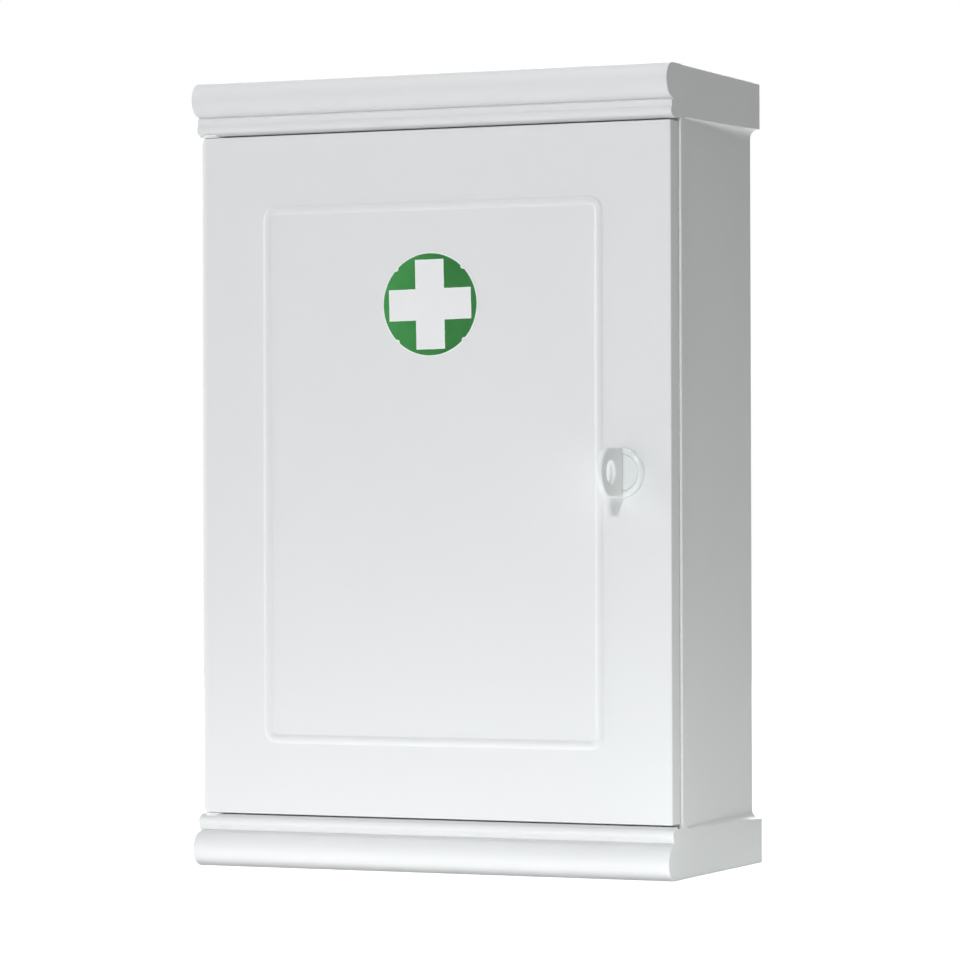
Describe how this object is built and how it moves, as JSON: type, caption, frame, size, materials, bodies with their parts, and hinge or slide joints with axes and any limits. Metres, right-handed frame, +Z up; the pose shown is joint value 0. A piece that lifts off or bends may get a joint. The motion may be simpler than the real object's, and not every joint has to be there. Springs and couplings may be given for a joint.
{
  "type": "lockable medicine cabinet",
  "caption": "Shallow moulded wall cabinet with bullnose crown and base mouldings, a hinged door with a raised frame line and a cross sticker, a cam lock with its key, and shelves inside.",
  "frame": {"origin": "centre of the flat back face, on the wall", "axes": "+Z up, +Y into the wall, so the door faces -Y; +X towards the lock side"},
  "size_m": [0.3, 0.1748, 0.46],
  "materials": {
    "white_shell": "gloss moulded white",
    "white_inner": "satin moulded white",
    "lock_plastic": "gloss, milky white",
    "key_plastic": "gloss moulded white",
    "bush_plastic": "satin white",
    "zinc_steel": "bright zinc plated",
    "buffer_rubber": "soft grey",
    "green_sticker": "printed gloss film, green with a white cross"
  },
  "bodies": {
    "carcass": {"carcass_shell": "white_shell", "cornice": "white_shell", "plinth": "white_shell", "cornice_screws": "zinc_steel", "plinth_screws": "zinc_steel", "upper_shelf": "white_inner", "lower_shelf": "white_inner", "lock_keeper": "zinc_steel", "door_buffers": "buffer_rubber", "upper_hinge_bush": "bush_plastic", "lower_hinge_bush": "bush_plastic"},
    "door": {"door_panel": "white_shell", "door_liner": "white_inner", "liner_screws": "zinc_steel", "cross_sticker": "green_sticker", "upper_hinge_pin": "zinc_steel", "lower_hinge_pin": "zinc_steel", "lock_housing": "lock_plastic", "lock_nut": "zinc_steel"},
    "barrel": {"lock_barrel": "lock_plastic", "lock_cam": "zinc_steel", "cam_washer": "zinc_steel", "cam_screw": "zinc_steel"},
    "key": {"key": "key_plastic"}
  },
  "joints": [
    {"name": "door_hinge", "type": "hinge", "parent": "carcass", "child": "door", "pos_m": [-0.1428, -0.135, 0], "axis": [0, 0, -1], "range_deg": [0, 120]},
    {"name": "lock_turn", "type": "hinge", "parent": "door", "child": "barrel", "pos_m": [0.1185, -0.141, -0.0005], "axis": [0, -1, 0], "range_deg": [0, 90]},
    {"name": "key_slide", "type": "slide", "parent": "barrel", "child": "key", "axis": [0, -1, 0], "range_m": [0, 0.02]}
  ]
}
